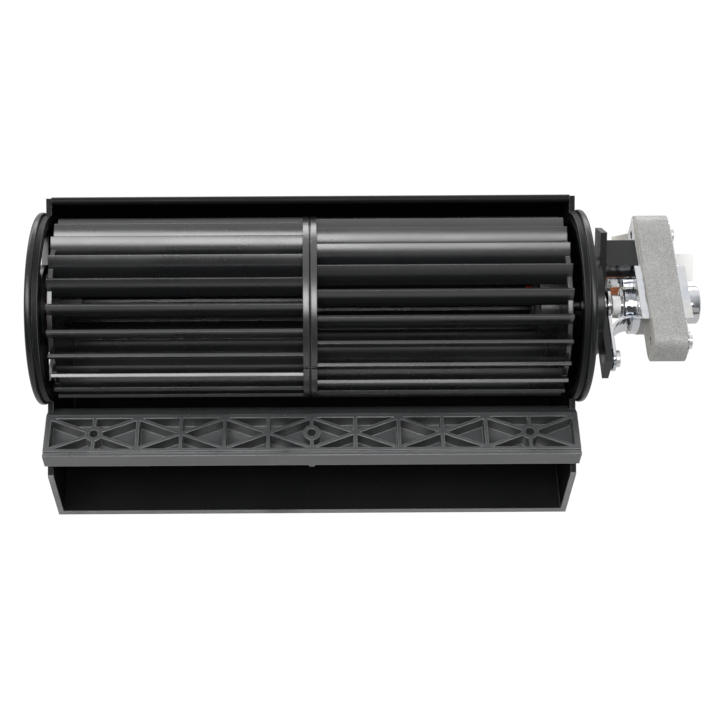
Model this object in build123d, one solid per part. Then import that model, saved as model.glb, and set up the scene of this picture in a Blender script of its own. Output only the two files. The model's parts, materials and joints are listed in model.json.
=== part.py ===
from build123d import *
from math import asin, atan2, cos, degrees, hypot, radians, sin, sqrt
import os

# Cross flow fan, in millimetres. +X runs along the wheel towards the motor,
# the outlet opens towards -Y and +Z is up. The origin is on the underside of
# the duct floor, at the housing's mid-length, below the wheel's axis.

# ---- wheel ----
wheel_r = 32.0
ring_inner_r = 23.0
blade_root_r = 24.6
blade_tip_gap = 0.7
blade_count = 22
blade_t = 1.2
blade_curve_r = 9.0
blade_sweep = 8.5
left_blade_angle = 122.4
right_blade_angle = 130.6
segment_joint_x = -0.35
segment_l = 88.4
ring_t = 2.35
ring_chamfer = 0.4
notch_w = 1.6
notch_depth = 0.9
disc_r = 28.2
disc_t = 1.6
boss_wall = 2.5
boss_l = 8.0

# ---- shafts and bearings ----
shaft_r = 2.0
running_gap = 0.05
axis_z = 61.0
bush_wall = 2.2
bush_l = 5.0
mount_wall = 3.0
mount_lip = 1.0
stub_l = 22.0
hub_rubber_r = 7.5
hub_rubber_l = 11.0

# ---- housing ----
body_half_l = 93.2
wall_t = 2.0
mouth_y = -50.0
floor_end_y = 14.0
scroll_corner_r = 30.0
lip_gap = 4.9
lip_angle = 39.5
lip_bead_r = 1.4
cheek_ring_w = 2.0
cheek_hole_r = 31.0

# ---- outlet rail ----
rail_top_z = 43.5
rail_h = 7.0
rail_rear_y = -33.5
rail_wall = 1.5
rail_front_wall = 3.0
rail_floor_t = 1.5
tongue_angle = 222.0
tongue_gap = 4.0
groove_w = 0.8
groove_depth = 0.8
rib_t = 1.2
cell_count = 6
ring_boss_r = 3.0
screw_hole_r = 1.5
screw_hole_depth = 5.0
boss_spacing = 76.0
tab_t = 1.6
tab_l = 10.0
tab_depth = 5.0
tab_gap = 0.1
nub_w = 2.0

# ---- end plates ----
end_plate_r = 34.0
end_plate_t = 2.4
end_plate_round = 0.9
spigot_gap = 0.1
spigot_wall = 1.6
window_inner_r = 15.5
window_outer_r = 26.0
left_windows = ((30.0, 85.0), (220.0, 270.0), (285.0, 340.0))
left_hub_wall = 2.5
left_hub_l = 3.0
hub_ring_r = 13.5
hub_ring_t = 1.2
hub_ring_w = 1.5

# ---- motor carrier on the right end plate ----
motor_hub_r = 17.5
motor_hub_h = 5.2
motor_hub_wall = 2.2
shaft_hole_r = 5.0
arm_t = 2.2
arm_w = 11.0
arm_reach = 27.0
post_w = 11.0
post_h = 7.0
post_y = 11.6
post_rise = 12.2
foot_w = 7.0
foot_reach = 22.5
foot_h = 0.8
foot_angles = (180.0, 300.0)

# ---- motor ----
stack_x = 114.9
stack_t = 11.2
head_l = 59.0
head_h = 13.8
head_y = -0.8
head_rise = 12.4
ear_spacing = 45.0
pole_ring_r = 10.4
rotor_r = 8.0
air_gap = 0.3
lean = 55.0
leg_end = 42.0
low_leg_b = -1.25
low_leg_w = 7.5
high_leg_b = 22.25
high_leg_w = 7.5
core_w = 9.0
core_gap = 0.05
coil_wall = 7.0
flange_t = 1.2
bobbin_t = 1.0
shading_w = 6.4
shading_wire = 1.3
shading_gap = 0.1
shading_rim = 1.0
high_shading_b = 2.5
rotor_end_gap = 0.5
rotor_ring_t = 1.0
rotor_ring_r = 7.4
rotor_ring_hole_r = 4.0

# ---- motor's plates, strap and small pieces ----
plate_t = 0.9
inner_pan_h = 2.8
outer_pan_h = 3.4
pan_r = 10.2
cup_wall = 0.8
inner_cup_l = 2.4
outer_cup_l = 7.0
cup_round = 0.7
motor_bush_r = 5.9
inner_bush_l = 4.0
outer_bush_l = 5.0
outer_bush_gap = 1.5
felt_r = 8.5
felt_t = 1.4
strap_t = 1.0
strap_w = 8.5
strap_hole_r = 4.2
leg_y = 4.6
leg_w = 4.4
leg_gap = 0.3
rear_tab_h = 8.0
rear_tab_margin = 4.0
collar_r = 3.3
collar_l = 2.8
collar_gap = 0.5
washer_r = 3.6
thrust_gap = 0.4
screw_r = 1.5
screw_head_r = 2.9
screw_head_t = 1.6
screw_l = 8.0
foot_screw_l = 4.0
shaft_end_gap = 1.5
terminal_t = 0.8
terminal_w = 3.2
terminal_l = 7.0
block_x = 131.0
block_w = 7.5
block_a0 = 13.0
block_a1 = 24.3
block_b0 = 8.6
clip_l = 5.0
clip_x = 82.0
clip_wall = 0.8


def section(outline, x0, x1):
    """Extrude an outline in the Y-Z plane from x0 to x1."""
    return extrude(Plane.YZ.offset(x0) * outline, amount=x1 - x0)


def on_axis(outline):
    """Lift an outline drawn about the wheel's axis to its height."""
    return Pos(0, axis_z) * outline


def tube(outer_r, inner_r, x0, x1):
    """A round tube about the wheel's axis."""
    return section(on_axis(Circle(outer_r) - Circle(inner_r)), x0, x1)


def rod(r, x0, x1):
    """A round bar about the wheel's axis."""
    return section(on_axis(Circle(r)), x0, x1)


def leaning(a0, a1, b0, b1):
    """A rectangle about the wheel's axis, in the motor's leaning directions."""
    middle = Pos((a0 + a1) / 2, (b0 + b1) / 2)
    return on_axis(Rot(0, 0, -lean) * middle * Rectangle(a1 - a0, b1 - b0))


def polar(r, angle):
    """A point of the Y-Z plane about the axis."""
    return r * cos(radians(angle)), r * sin(radians(angle))


# ---- wheel segments ----
tip_r = wheel_r - blade_tip_gap


def blade_outline():
    """One forward-curved blade, its tip on the +Y side of the axis."""
    tip = Vector(tip_r, 0)
    root = Vector(*polar(blade_root_r, blade_sweep))
    chord = tip - root
    across = Vector(chord.Y, -chord.X).normalized()
    if across.Y > 0:
        across = -across
    reach = sqrt(blade_curve_r**2 - (chord.length / 2) ** 2)
    middle = (tip + root) * 0.5 + across * reach
    start = degrees(atan2(root.Y - middle.Y, root.X - middle.X))
    end = degrees(atan2(tip.Y - middle.Y, tip.X - middle.X))
    back = CenterArc(middle, blade_curve_r + blade_t / 2, start, end - start)
    face = CenterArc(middle, blade_curve_r - blade_t / 2, start, end - start)
    ends = [Line(back @ 0, face @ 0), Line(back @ 1, face @ 1)]
    return make_face([back, face, *ends])


def blades(first_angle):
    """All the blades of one segment, seen along the axis."""
    outline = blade_outline()
    pitch = 360 / blade_count
    return [Rot(0, 0, first_angle + pitch * i) * outline for i in range(blade_count)]


def segment(side, first_angle):
    """One blown length of the wheel: centre ring, blades and end disc."""
    joint = segment_joint_x
    ring_end = joint + side * ring_t
    disc_start = joint + side * (segment_l - disc_t)
    end = joint + side * segment_l
    blade_faces = Sketch() + blades(first_angle)
    ring = tube(wheel_r, ring_inner_r, min(joint, ring_end), max(joint, ring_end))
    edge = ring.edges().filter_by(GeomType.CIRCLE).group_by(SortBy.RADIUS)[-1]
    ring = chamfer(edge.sort_by(Axis.X)[0 if side > 0 else -1], ring_chamfer)
    notch_y, notch_z = polar(wheel_r, 165)
    notch = Pos(joint + side * ring_t / 2, notch_y, axis_z + notch_z) * Box(
        ring_t, notch_depth * 2, notch_w
    )
    disc_face = Circle(disc_r) - Circle(boss_r(side))
    row = section(on_axis(blade_faces), min(ring_end, disc_start), max(ring_end, disc_start))
    plate = section(on_axis(disc_face + blade_faces), min(disc_start, end), max(disc_start, end))
    boss_end = end - side * boss_l
    boss = tube(boss_r(side) + boss_wall, boss_r(side), min(boss_end, end), max(boss_end, end))
    return (ring - notch) + row + plate + boss


def boss_r(side):
    """The bore of a segment's boss: the rubber hub's on the right, the pin's on the left."""
    return hub_rubber_r if side > 0 else shaft_r


left_impeller = segment(-1, left_blade_angle)
right_impeller = segment(1, right_blade_angle)
left_wheel_end = segment_joint_x - segment_l
right_wheel_end = segment_joint_x + segment_l

# ---- scroll housing ----
lip_r = wheel_r + lip_gap
lip_y, lip_z = polar(lip_r, lip_angle)
lip_z += axis_z
rear_y = floor_end_y + scroll_corner_r
rear_z = wall_t + scroll_corner_r
rise, lean_in = lip_z - rear_z, rear_y - lip_y
back_r = (rise**2 + lean_in**2) / (2 * lean_in)
back_sweep = degrees(asin(rise / back_r))
corner = (floor_end_y, rear_z)
back_centre = (rear_y - back_r, rear_z)


def scroll_line(offset):
    """The floor, the rear corner and the back wall as one line."""
    floor_z = wall_t - offset
    return [
        Line((mouth_y, floor_z), (floor_end_y, floor_z)),
        CenterArc(corner, scroll_corner_r + offset, -90, 90),
        CenterArc(back_centre, back_r + offset, 0, back_sweep),
    ]


inner_line = scroll_line(0)
outer_line = scroll_line(wall_t)
lip_inner = inner_line[-1] @ 1
lip_outer = outer_line[-1] @ 1
mouth_foot = [(mouth_y, 0), (mouth_y, wall_t)]
scroll_band = make_face([*inner_line, *outer_line, Line(lip_inner, lip_outer), Line(*mouth_foot)])
bead = Pos((lip_inner + lip_outer) * 0.5) * Circle(lip_bead_r)
rail_under_z = rail_top_z - rail_h
tongue_r = wheel_r + tongue_gap
tongue_y, tongue_z = polar(tongue_r, tongue_angle)
tongue_z += axis_z
rail_outline = make_face(
    [
        Polyline(
            (rail_rear_y, rail_top_z),
            (mouth_y, rail_top_z),
            (mouth_y, rail_under_z),
            (tongue_y - rail_wall, tongue_z - rail_wall),
            (tongue_y, tongue_z),
        ),
        RadiusArc((rail_rear_y, rail_top_z), (tongue_y, tongue_z), tongue_r),
    ]
)
above_rail = Pos((mouth_y + rail_rear_y) / 2, rail_top_z) * Rectangle(rail_rear_y - mouth_y, 2 * rail_h)
cheek_top = [lip_outer, (0, axis_z), (mouth_y, axis_z - wheel_r), (mouth_y, 0)]
cheek = make_face([*outer_line, Polyline(*cheek_top)])
cheek = cheek + on_axis(Circle(cheek_hole_r + cheek_ring_w))
cheek = cheek - on_axis(Circle(cheek_hole_r)) - rail_outline - above_rail
inner_half_l = body_half_l - wall_t
scroll_housing = section(scroll_band + bead, -inner_half_l, inner_half_l)
scroll_housing += section(cheek, inner_half_l, body_half_l)
scroll_housing += section(cheek, -body_half_l, -inner_half_l)

# ---- outlet rail with its lattice ----
stabiliser_rail = section(rail_outline, -body_half_l, body_half_l)
pocket_front = mouth_y + rail_front_wall
pocket_rear = rail_rear_y - rail_wall
pocket_w = pocket_rear - pocket_front
pocket_half_l = body_half_l - wall_t
pocket_y = (pocket_front + pocket_rear) / 2
cell_l = 2 * pocket_half_l / cell_count
diagonal_l = hypot(cell_l, pocket_w)
diagonal_angle = degrees(atan2(pocket_w, cell_l))
ribs = []
for i in range(cell_count):
    cell_x = -pocket_half_l + cell_l * (i + 0.5)
    ribs += [Pos(cell_x, pocket_y) * Rot(0, 0, a) * Rectangle(diagonal_l, rib_t) for a in (diagonal_angle, -diagonal_angle)]
    ribs.append(Pos(cell_x, pocket_y) * Rectangle(rib_t, pocket_w))
    if i:
        ribs.append(Pos(cell_x - cell_l / 2, pocket_y) * Rectangle(rib_t, pocket_w))
boss_xs = (-boss_spacing, 0.0, boss_spacing)
ribs += [Pos(x, pocket_y) * Circle(ring_boss_r) for x in boss_xs]
pockets = Pos(0, pocket_y) * Rectangle(2 * pocket_half_l, pocket_w) - ribs
pocket_floor_z = rail_under_z + rail_floor_t
stabiliser_rail -= extrude(Plane.XY.offset(pocket_floor_z) * pockets, amount=rail_h)
for x in boss_xs:
    stabiliser_rail -= Pos(x, pocket_y, rail_top_z - screw_hole_depth / 2) * Cylinder(
        screw_hole_r, screw_hole_depth
    )
groove_y = mouth_y + rail_front_wall / 2
stabiliser_rail -= Pos(0, groove_y, rail_top_z) * Box(2 * body_half_l, groove_w, groove_depth * 2)
tab_x = inner_half_l - tab_gap - tab_t / 2
for side in (-1, 1):
    stabiliser_rail += Pos(side * tab_x, groove_y + tab_l, rail_under_z - tab_depth / 2 + rail_floor_t / 2) * Box(
        tab_t, tab_l, tab_depth + rail_floor_t
    )
stabiliser_rail += Pos(0, mouth_y + nub_w / 2, rail_under_z) * Box(nub_w, nub_w, nub_w)

# ---- end plates ----
spigot_r = cheek_hole_r - spigot_gap
plate_x = body_half_l + end_plate_t


def window(angles):
    """A ring sector between two angles."""
    start, end = angles
    outer = CenterArc((0, 0), window_outer_r, start, end - start)
    inner = CenterArc((0, 0), window_inner_r, start, end - start)
    return make_face([outer, inner, Line(outer @ 0, inner @ 0), Line(outer @ 1, inner @ 1)])


def plate_disc(side):
    """A rounded end disc with the spigot that centres it in the cheek."""
    disc = rod(end_plate_r, min(side * body_half_l, side * plate_x), max(side * body_half_l, side * plate_x))
    disc = fillet(disc.edges().filter_by(GeomType.CIRCLE), end_plate_round)
    spigot = tube(
        spigot_r, spigot_r - spigot_wall, min(side * inner_half_l, side * body_half_l), max(side * inner_half_l, side * body_half_l)
    )
    return disc + spigot


bush_r = shaft_r + running_gap + bush_wall
mount_r = bush_r + mount_wall
left_hub_r = mount_r + left_hub_wall
left_end_plate = plate_disc(-1)
left_end_plate += rod(left_hub_r, -plate_x - left_hub_l, -body_half_l)
left_end_plate += tube(hub_ring_r, hub_ring_r - hub_ring_w, -body_half_l, -body_half_l + hub_ring_t)
left_end_plate -= rod(mount_r, -plate_x - left_hub_l, -body_half_l)
left_end_plate -= section(on_axis(Sketch() + [window(w) for w in left_windows]), -plate_x, -body_half_l)
mount_x = -plate_x - left_hub_l
left_bearing_mount = tube(mount_r, bush_r, mount_x, -body_half_l)
left_bearing_mount += tube(mount_r + mount_lip, bush_r, -body_half_l, -body_half_l + mount_lip)
left_bearing = tube(bush_r, shaft_r + running_gap, mount_x, mount_x + bush_l)
stub_shaft = rod(shaft_r, mount_x - mount_lip, mount_x - mount_lip + stub_l)

hub_x = plate_x + motor_hub_h
arm_x = hub_x + arm_t
strap_x = arm_x + foot_h
post_end = stack_x - plate_t
post_angle = degrees(atan2(post_rise, post_y))


def arm(angle):
    """The outline of a flat arm from the hub's centre outwards."""
    return Rot(0, 0, angle) * Pos(arm_reach / 2, 0) * Rectangle(arm_reach, arm_w)


arms = Sketch() + [arm(a) for a in (post_angle, *foot_angles)]
right_end_plate = plate_disc(1) + rod(motor_hub_r, plate_x, hub_x)
right_end_plate += section(on_axis(arms), hub_x, arm_x)
right_end_plate += section(Pos(post_y, axis_z + post_rise) * Rectangle(post_w, post_h), arm_x, post_end)
foot_points = [polar(foot_reach, a) for a in foot_angles]
for foot in foot_points:
    right_end_plate += section(on_axis(Pos(*foot) * Circle(foot_w / 2)), arm_x, strap_x)
right_end_plate -= rod(motor_hub_r - motor_hub_wall, body_half_l, hub_x - motor_hub_wall)
right_end_plate -= rod(shaft_hole_r, hub_x - motor_hub_wall, arm_x)
right_end_plate -= section(Pos(post_y, axis_z + post_rise) * Circle(screw_r), post_end - screw_l, post_end)
for foot in foot_points:
    right_end_plate -= section(on_axis(Pos(*foot) * Circle(screw_r)), strap_x - foot_screw_l + strap_t, strap_x)

# ---- motor stack ----
stack_end = stack_x + stack_t
bore_r = rotor_r + air_gap
head = Pos(head_y, axis_z + head_rise) * SlotOverall(head_l, head_h)
ear_points = [(head_y + s * ear_spacing / 2, axis_z + head_rise) for s in (-1, 1)]
ears = [Pos(*point) * Circle(screw_r) for point in ear_points]
low_leg = leaning(0, leg_end, low_leg_b - low_leg_w / 2, low_leg_b + low_leg_w / 2)
high_leg = leaning(head_h / 2, leg_end, high_leg_b - high_leg_w / 2, high_leg_b + high_leg_w / 2)
shading_a = bore_r + shading_rim
shading_places = ((shading_a, low_leg_b), (-shading_a - shading_wire, high_shading_b))


def shading_side(a, b, grow):
    """The two runs of a shading ring through the stack, grown for its slots."""
    half = (shading_w - shading_wire) / 2
    return [
        leaning(a - grow, a + shading_wire + grow, side_b - shading_wire / 2 - grow, side_b + shading_wire / 2 + grow)
        for side_b in (b - half, b + half)
    ]


slots = [side for a, b in shading_places for side in shading_side(a, b, shading_gap)]
stack_outline = head + on_axis(Circle(pole_ring_r)) + low_leg + high_leg
stack_outline = stack_outline - on_axis(Circle(bore_r)) - ears - slots
stator_core = section(stack_outline, stack_x, stack_end)
shading_rings = []
shading_end = shading_gap + shading_wire
for a, b in shading_places:
    block = leaning(a, a + shading_wire, b - shading_w / 2, b + shading_w / 2)
    window_b = shading_w / 2 - shading_wire
    hole = leaning(a, a + shading_wire, b - window_b, b + window_b)
    ring = section(block, stack_x - shading_end, stack_end + shading_end)
    shading_rings.append(ring - section(hole, stack_x - shading_gap, stack_end + shading_gap))

# ---- coil ----
core_b0 = low_leg_b + low_leg_w / 2
core_b1 = high_leg_b - high_leg_w / 2
core_a1 = leg_end
core_a0 = leg_end - core_w
coil_core = section(leaning(core_a0, core_a1, core_b0, core_b1), stack_x, stack_end)
bobbin_in = core_gap
bobbin_out = core_gap + bobbin_t
coil_out = bobbin_out + coil_wall


def collar(grow, b0, b1):
    """A block round the coil's core, larger than it by grow on every side."""
    return section(leaning(core_a0 - grow, core_a1 + grow, b0, b1), stack_x - grow, stack_end + grow)


bobbin_b0 = core_b0 + core_gap
bobbin_b1 = core_b1 - core_gap
coil_bobbin = collar(bobbin_out, bobbin_b0, bobbin_b1)
coil_bobbin += collar(coil_out + flange_t, bobbin_b0, bobbin_b0 + flange_t)
coil_bobbin += collar(coil_out + flange_t, bobbin_b1 - flange_t, bobbin_b1)
coil_bobbin -= collar(bobbin_in, bobbin_b0, bobbin_b1)
winding_b0 = bobbin_b0 + flange_t
winding_b1 = bobbin_b1 - flange_t
coil_winding = collar(coil_out, winding_b0, winding_b1) - collar(bobbin_out, winding_b0, winding_b1)

block_x1 = block_x + block_w
coil_bobbin += section(leaning(block_a0, block_a1, block_b0, bobbin_b1), block_x, block_x1)
coil_bobbin += section(leaning(block_a0, core_a0, bobbin_b1 - flange_t, bobbin_b1), block_x, stack_end + coil_out)
terminals = []
for side in (1, 3):
    tab_b = block_b0 + (bobbin_b1 - block_b0) * side / 4
    tab = leaning(block_a1, block_a1 + terminal_l, tab_b - terminal_w / 2, tab_b + terminal_w / 2)
    tab_x0 = stack_end + coil_out + flange_t
    terminals.append(section(tab, tab_x0, tab_x0 + terminal_t))

# ---- rotor and motor shaft ----
rotor_x0 = stack_x + rotor_end_gap
rotor_x1 = stack_end - rotor_end_gap
rotor_core = tube(rotor_r, shaft_r, rotor_x0 + rotor_ring_t, rotor_x1 - rotor_ring_t)
rotor_rings = [
    tube(rotor_ring_r, rotor_ring_hole_r, rotor_x0, rotor_x0 + rotor_ring_t),
    tube(rotor_ring_r, rotor_ring_hole_r, rotor_x1 - rotor_ring_t, rotor_x1),
]
inner_pan_x = stack_x - inner_pan_h
inner_cup_x = inner_pan_x - inner_cup_l
outer_pan_x = stack_end + outer_pan_h
outer_cup_x = outer_pan_x + outer_cup_l
cup_r = motor_bush_r + cup_wall
inner_bush_x = inner_cup_x + cup_wall
inner_bearing = tube(motor_bush_r, shaft_r + running_gap, inner_bush_x, inner_bush_x + inner_bush_l)
outer_bush_x = stack_end + outer_bush_gap
outer_bearing = tube(motor_bush_r, shaft_r + running_gap, outer_bush_x, outer_bush_x + outer_bush_l)
oil_felts = [
    tube(felt_r, motor_bush_r, inner_pan_x + plate_t, inner_pan_x + plate_t + felt_t),
    tube(felt_r, motor_bush_r, outer_pan_x - plate_t - felt_t, outer_pan_x - plate_t),
]
thrust_washers = [
    tube(washer_r, shaft_r, inner_bush_x + inner_bush_l + thrust_gap, rotor_x0 + rotor_ring_t),
    tube(washer_r, shaft_r, rotor_x1 - rotor_ring_t, outer_bush_x - thrust_gap),
]
hub_rubber_x0 = right_wheel_end - (boss_l + hub_rubber_l) / 2
rubber_hub = tube(hub_rubber_r, shaft_r, hub_rubber_x0, hub_rubber_x0 + hub_rubber_l)
motor_shaft = rod(shaft_r, hub_rubber_x0, outer_cup_x - cup_wall - shaft_end_gap)
collar_x = inner_cup_x - collar_gap
shaft_collar = tube(collar_r, shaft_r, collar_x - collar_l, collar_x)

# ---- drawn bearing plates ----
pan_front = make_face(
    Polyline(
        (-7.0, 0.0),
        (-10.4, 6.4),
        (-17.6, 17.4),
        (leg_y, 17.4),
        (leg_y, 0.0),
        (-7.0, 0.0),
    )
)
pan_leg = leaning(0, shading_a + shading_wire + 2 * plate_t, low_leg_b - 5, low_leg_b + 5)
pan_outline = on_axis(Circle(pan_r) + pan_front) + pan_leg
pan_inside = offset(pan_outline, -plate_t)


def drawn_pan(x_rim, x_face, side):
    """A shallow tray over the rotor, its rim on the stack and open to it."""
    tray = section(pan_outline, min(x_rim, x_face), max(x_rim, x_face))
    floor = x_face - side * plate_t
    return tray - section(pan_inside, min(x_rim, floor), max(x_rim, floor))


def drawn_cup(x_face, x_end):
    """A round cup for a bearing, with a rounded end."""
    cup = rod(cup_r, min(x_face, x_end), max(x_face, x_end))
    end = cup.edges().filter_by(GeomType.CIRCLE).sort_by(Axis.X)[0 if x_end < x_face else -1]
    return fillet(end, cup_round)


rear_tab_end = ear_points[1][0] + rear_tab_margin
rear_tab = Pos((leg_y + rear_tab_end) / 2, axis_z + post_rise) * Rectangle(rear_tab_end - leg_y, rear_tab_h)
tab_holes = [Pos(*ear_points[1]) * Circle(screw_r), Pos(post_y, axis_z + post_rise) * Circle(screw_r)]
inner_bearing_plate = drawn_pan(stack_x, inner_pan_x, -1) + drawn_cup(inner_pan_x + plate_t, inner_cup_x)
inner_bearing_plate += section(rear_tab - pan_outline - tab_holes, stack_x - plate_t, stack_x)
inner_bearing_plate -= rod(motor_bush_r, inner_bush_x, inner_pan_x + plate_t)
inner_bearing_plate -= rod(shaft_r + thrust_gap, inner_cup_x, inner_bush_x)

outer_tab = Pos(head_y, axis_z + head_rise) * SlotOverall(head_l - 4, head_h - 4) - ears - pan_outline
outer_bearing_plate = drawn_pan(stack_end, outer_pan_x, 1) + drawn_cup(outer_pan_x - plate_t, outer_cup_x)
outer_bearing_plate += section(outer_tab, stack_end, stack_end + plate_t)
outer_bearing_plate -= rod(motor_bush_r, outer_pan_x - plate_t, outer_cup_x - cup_wall)

# ---- strap from the motor to the feet ----
strap_end = strap_x + strap_t
strap_outline = Circle(strap_w)
for angle in foot_angles:
    strap_outline += Rot(0, 0, angle) * Pos(foot_reach / 2, 0) * SlotOverall(foot_reach + strap_w, strap_w)
strap_outline = strap_outline - Circle(strap_hole_r) - [Pos(*foot) * Circle(screw_r) for foot in foot_points]
motor_bracket = section(on_axis(strap_outline), strap_x, strap_end)
leg_z = axis_z + sqrt((cup_r + leg_gap) ** 2 - (leg_y - strap_t) ** 2)
motor_bracket += Pos((strap_x + inner_pan_x) / 2, leg_y - strap_t / 2, leg_z + leg_w / 2) * Box(
    inner_pan_x - strap_x, strap_t, leg_w
)
brace_r = inner_pan_x - strap_end
brace_y = -cup_r - thrust_gap
brace = make_face(
    [
        CenterArc((inner_pan_x, brace_y - strap_t - brace_r), brace_r, 90, 90),
        CenterArc((inner_pan_x, brace_y - strap_t - brace_r), brace_r + strap_t, 90, 90),
        Line((inner_pan_x, brace_y - strap_t), (inner_pan_x, brace_y)),
        Line((strap_end, brace_y - strap_t - brace_r), (strap_x, brace_y - strap_t - brace_r)),
    ]
)
motor_bracket += extrude(Plane.XY.offset(axis_z - strap_w / 2) * brace, amount=strap_w)


def screw(x_seat, length, point, side):
    """A pan-head screw whose head stands on x_seat and whose shank runs away from side."""
    shank_end = x_seat - side * length
    head_end = x_seat + side * screw_head_t
    where = Pos(*point)
    shank = section(where * Circle(screw_r), min(x_seat, shank_end), max(x_seat, shank_end))
    return shank + section(where * Circle(screw_head_r), min(x_seat, head_end), max(x_seat, head_end))


motor_screws = [screw(stack_end + plate_t, screw_l, point, 1) for point in ear_points]
bracket_screws = [screw(strap_end, foot_screw_l, (y, z + axis_z), 1) for y, z in foot_points]
bracket_screws.append(section(Pos(post_y, axis_z + post_rise) * Circle(screw_r), post_end - screw_l, stack_x))

# ---- balance clip on a blade of the right segment ----
clip_angle = right_blade_angle + 360 / blade_count * 11
clip_block = Pos(*polar(blade_root_r + 1.0, blade_sweep)) * Rot(0, 0, blade_sweep) * Rectangle(4.0, blade_t + 2 * clip_wall)
clip_outline = clip_block - blade_outline()
balance_clip = section(on_axis(Rot(0, 0, clip_angle) * clip_outline), clip_x - clip_l / 2, clip_x + clip_l / 2)

pieces = {
    "left_impeller": left_impeller,
    "right_impeller": right_impeller,
    "scroll_housing": scroll_housing,
    "stabiliser_rail": stabiliser_rail,
    "left_end_plate": left_end_plate,
    "right_end_plate": right_end_plate,
    "left_bearing_mount": left_bearing_mount,
    "left_bearing": left_bearing,
    "stub_shaft": stub_shaft,
    "stator_core": stator_core,
    "coil_core": coil_core,
    "coil_bobbin": coil_bobbin,
    "coil_winding": coil_winding,
    "terminals": terminals,
    "shading_rings": shading_rings,
    "rotor_core": rotor_core,
    "rotor_rings": rotor_rings,
    "motor_shaft": motor_shaft,
    "shaft_collar": shaft_collar,
    "thrust_washers": thrust_washers,
    "rubber_hub": rubber_hub,
    "inner_bearing": inner_bearing,
    "outer_bearing": outer_bearing,
    "oil_felts": oil_felts,
    "inner_bearing_plate": inner_bearing_plate,
    "outer_bearing_plate": outer_bearing_plate,
    "motor_bracket": motor_bracket,
    "motor_screws": motor_screws,
    "bracket_screws": bracket_screws,
    "balance_clip": balance_clip,
}
os.makedirs("parts", exist_ok=True)
for name, piece in pieces.items():
    solids = Compound(children=piece) if isinstance(piece, list) else piece
    export_step(solids, f"parts/{name}.step")
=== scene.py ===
"""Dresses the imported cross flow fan: finishes, wound coil, stacked sheets, floor, lights and camera."""

import json
import logging
import math
from dataclasses import dataclass
from enum import Enum
from typing import Any, ClassVar, Optional, Union

import bmesh
import bpy
from mathutils import Matrix, Vector


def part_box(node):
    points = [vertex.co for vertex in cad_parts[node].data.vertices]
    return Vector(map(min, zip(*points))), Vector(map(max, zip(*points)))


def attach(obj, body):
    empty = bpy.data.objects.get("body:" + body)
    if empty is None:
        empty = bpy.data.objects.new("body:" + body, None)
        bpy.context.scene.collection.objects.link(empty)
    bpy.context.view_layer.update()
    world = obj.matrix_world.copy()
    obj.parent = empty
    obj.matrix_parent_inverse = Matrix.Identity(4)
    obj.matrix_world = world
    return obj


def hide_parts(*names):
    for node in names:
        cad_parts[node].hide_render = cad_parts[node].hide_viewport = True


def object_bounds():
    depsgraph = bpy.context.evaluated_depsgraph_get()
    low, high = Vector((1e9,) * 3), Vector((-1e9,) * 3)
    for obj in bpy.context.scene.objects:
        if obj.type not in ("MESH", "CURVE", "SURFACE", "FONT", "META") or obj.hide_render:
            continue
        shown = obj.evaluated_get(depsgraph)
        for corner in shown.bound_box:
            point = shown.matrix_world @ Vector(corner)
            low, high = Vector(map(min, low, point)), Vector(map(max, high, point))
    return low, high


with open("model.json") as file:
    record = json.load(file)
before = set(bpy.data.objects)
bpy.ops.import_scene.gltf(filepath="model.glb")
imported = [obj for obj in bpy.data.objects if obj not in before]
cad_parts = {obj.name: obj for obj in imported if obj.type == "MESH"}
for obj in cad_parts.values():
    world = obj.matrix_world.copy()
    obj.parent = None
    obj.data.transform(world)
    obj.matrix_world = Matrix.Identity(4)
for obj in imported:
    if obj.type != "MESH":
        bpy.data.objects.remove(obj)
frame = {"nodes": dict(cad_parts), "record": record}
CAD_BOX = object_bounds()
log = logging.getLogger("cross_flow_fan")

Colour = tuple[float, float, float]
Triple = tuple[float, float, float]
Number = Union[float, "Value"]

# The middle of a noise, a cell's level or another value that runs from 0 to 1.
MIDDLE = 0.5
# How well two unit normals agree where a corner begins to tell, and where it tells in full.
CORNER_BEGINS, CORNER_FULL = 0.995, 0.90
BEVEL_SAMPLES = 4
# Sockets of the Mix node for colours, by place, because its other kinds use the same names.
MIX_AMOUNT, MIX_BELOW, MIX_ABOVE, MIX_RESULT = 0, 6, 7, 2


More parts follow.
